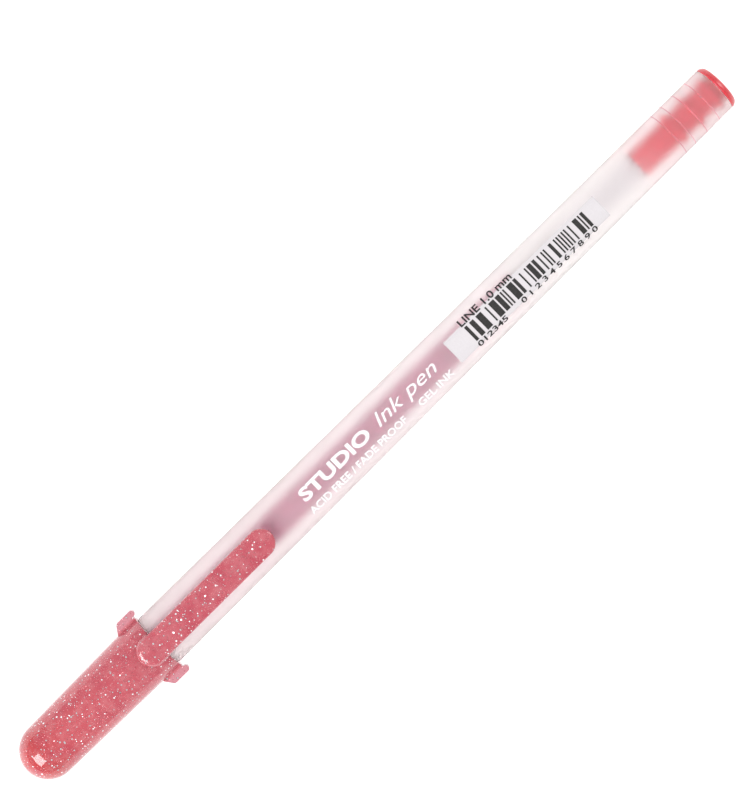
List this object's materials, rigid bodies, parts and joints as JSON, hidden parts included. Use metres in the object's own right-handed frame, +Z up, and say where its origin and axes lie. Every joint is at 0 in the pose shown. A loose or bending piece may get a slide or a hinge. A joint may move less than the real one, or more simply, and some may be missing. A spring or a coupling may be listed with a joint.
{
  "type": "capped gel pen",
  "caption": "Slim capped gel pen: translucent round cap with an anti-roll collar and a flat clip, tapered frosted barrel, ink refill inside and a coloured tail plug.",
  "frame": {"origin": "on the surface the pen lies on, below the middle of its length", "axes": "+X along the pen from the cap towards the tail plug, +Z up, through the clip"},
  "size_m": [0.149, 0.0128, 0.0111],
  "materials": {
    "glitter_plastic": "translucent pink-red plastic with silver glitter flakes in it",
    "frosted_plastic": "frosted translucent plastic",
    "clear_plastic": "clear thin-walled plastic",
    "seal_rubber": "soft matt rubber",
    "plug_plastic": "opaque red plastic, satin",
    "holder_plastic": "natural white plastic",
    "metallic_ink": "wet gel ink with fine metallic pigment",
    "follower_grease": "clear grease",
    "point_steel": "turned stainless steel",
    "ball_carbide": "polished carbide"
  },
  "bodies": {
    "pen": {"barrel": "frosted_plastic", "tail_plug": "plug_plastic", "refill_tube": "clear_plastic", "point_holder": "holder_plastic", "writing_point": "point_steel", "ink": "metallic_ink"},
    "cap": {"cap_shell": "glitter_plastic", "cap_seal": "seal_rubber"},
    "clip": {"clip_arm": "glitter_plastic"},
    "ball": {"writing_ball": "ball_carbide"},
    "follower": {"grease_follower": "follower_grease"}
  },
  "joints": [
    {"name": "cap_pull", "type": "slide", "parent": "pen", "child": "cap", "axis": [-1, 0, 0], "range_m": [0, 0.055]},
    {"name": "clip_flex", "type": "hinge", "parent": "cap", "child": "clip", "pos_m": [-0.04623, 0, 0.01046], "axis": [0, -1, 0], "range_deg": [0, 5], "stiffness_Nm_per_rad": 0.03},
    {"name": "ball_roll", "type": "hinge", "parent": "pen", "child": "ball", "pos_m": [-0.06957, 0, 0.0049], "axis": [0, 1, 0], "continuous": true},
    {"name": "follower_travel", "type": "slide", "parent": "pen", "child": "follower", "axis": [-1, 0, 0], "range_m": [0, 0.08], "deforming": ["ink"]}
  ]
}
